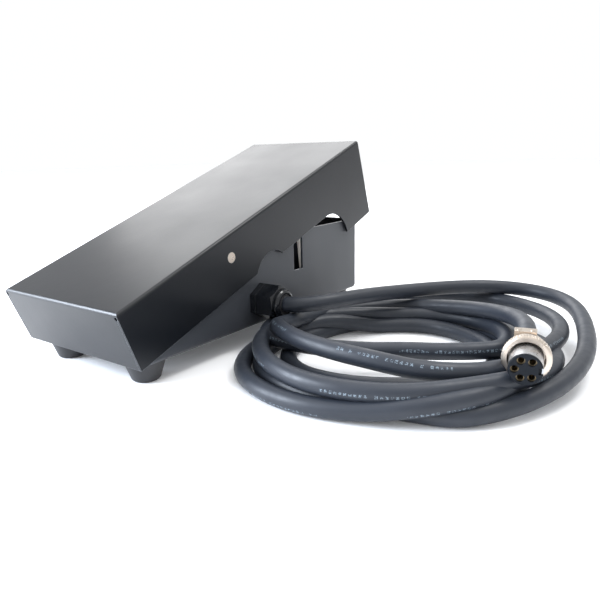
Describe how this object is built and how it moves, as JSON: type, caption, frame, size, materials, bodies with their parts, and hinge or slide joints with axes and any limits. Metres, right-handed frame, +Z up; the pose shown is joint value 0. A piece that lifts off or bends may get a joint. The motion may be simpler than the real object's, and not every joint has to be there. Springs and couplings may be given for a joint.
{
  "type": "foot pedal control",
  "caption": "Rocking sheet-metal foot pedal on rubber feet with a side cable gland, a long coiled rubber cable and a screw-ring multi-contact plug.",
  "frame": {"origin": "on the floor under the middle of the pedal's own box, leaving out the cable and plug", "axes": "+X from the pedal's low end to its high end, -Y towards the side that the cable leaves, +Z up"},
  "size_m": [0.2448, 0.2779, 0.1211],
  "materials": {
    "cover_paint": "satin black powder coat",
    "base_paint": "satin charcoal powder coat",
    "zinc_steel": "bright zinc plate",
    "spring_steel": "drawn wire",
    "nickel": "satin nickel plate",
    "bronze": "sintered bronze",
    "foot_rubber": "matt",
    "cable_rubber": "matt, with a fine grain",
    "gland_plastic": "gloss black",
    "black_plastic": "matt black",
    "white_plastic": "matt white",
    "aluminium": "turned",
    "core_red": "smooth insulation",
    "core_white": "smooth insulation",
    "core_green": "smooth insulation"
  },
  "bodies": {
    "base": {"base_housing": "base_paint", "pivot_bush_near": "bronze", "pivot_bush_far": "bronze", "rubber_foot_front_near": "foot_rubber", "rubber_foot_front_far": "foot_rubber", "rubber_foot_rear_near": "foot_rubber", "rubber_foot_rear_far": "foot_rubber", "foot_screws": "zinc_steel", "foot_nuts": "zinc_steel", "stop_bracket_near": "zinc_steel", "stop_bracket_far": "zinc_steel", "stop_buffer_near": "foot_rubber", "stop_buffer_far": "foot_rubber", "stop_screws": "zinc_steel", "stop_nuts": "zinc_steel", "spring_seat_lower": "zinc_steel", "return_spring": "spring_steel", "pot_bracket": "zinc_steel", "potentiometer_body": "aluminium", "pot_washer": "zinc_steel", "pot_nut": "nickel", "microswitch_body": "black_plastic", "lever_axle": "zinc_steel", "switch_bracket": "zinc_steel", "switch_screws": "zinc_steel", "switch_nuts": "zinc_steel", "bracket_screws": "zinc_steel", "bracket_nuts": "zinc_steel", "gland_body": "gland_plastic", "gland_locknut": "gland_plastic", "gland_dome_nut": "gland_plastic", "gland_seal": "foot_rubber", "cable_inlet": "cable_rubber", "core_wire_a": "core_red", "core_wire_b": "core_white", "core_wire_c": "core_green", "core_wire_d": "core_white", "core_wire_e": "core_red", "cable_lead": "cable_rubber", "cable_coil": "cable_rubber", "cable_tail": "cable_rubber", "plug_sleeve": "nickel", "plug_barrel": "nickel", "plug_clamp_screws": "nickel", "plug_insert": "black_plastic", "plug_contacts": "zinc_steel"},
    "pedal": {"pedal_cover": "cover_paint", "pivot_rod": "nickel", "spring_seat_upper": "zinc_steel", "sector_bracket": "zinc_steel", "sector_gear": "zinc_steel", "sector_screws": "zinc_steel", "sector_nuts": "zinc_steel", "switch_striker": "zinc_steel"},
    "pinion": {"drive_pinion": "white_plastic", "pinion_grub_screw": "black_plastic", "pot_shaft": "aluminium"},
    "lever": {"switch_lever": "zinc_steel"},
    "plunger": {"switch_plunger": "core_red"},
    "screw_ring": {"plug_ring": "nickel"}
  },
  "joints": [
    {"name": "pedal_rock", "type": "hinge", "parent": "base", "child": "pedal", "pos_m": [-0.0391, 0, 0.0575], "axis": [0, 1, 0], "range_deg": [0, 18], "stiffness_Nm_per_rad": 10, "springref_deg": -6.88, "deforming": ["return_spring"]},
    {"name": "pinion_turn", "type": "hinge", "parent": "base", "child": "pinion", "pos_m": [0.02306, 0.0115, 0.03488], "axis": [0, 1, 0], "range_deg": [-180.5, 0]},
    {"name": "lever_swing", "type": "hinge", "parent": "base", "child": "lever", "pos_m": [-0.0501, 0.0251, 0.0502], "axis": [0, 1, 0], "range_deg": [0, 10.5]},
    {"name": "plunger_press", "type": "slide", "parent": "base", "child": "plunger", "axis": [0, 0, -1], "range_m": [0, 0.00071]},
    {"name": "ring_spin", "type": "hinge", "parent": "base", "child": "screw_ring", "pos_m": [-0.0226, -0.2073, 0.0237], "axis": [-0.973, -0.2264, -0.0436], "continuous": true}
  ],
  "couplings": [
    {"joint": "pinion_turn", "follows": "pedal_rock", "ratio": -10},
    {"joint": "lever_swing", "follows": "pedal_rock", "ratio": 0.58},
    {"joint": "plunger_press", "follows": "pedal_rock", "m_per_rad": 0.002228}
  ]
}
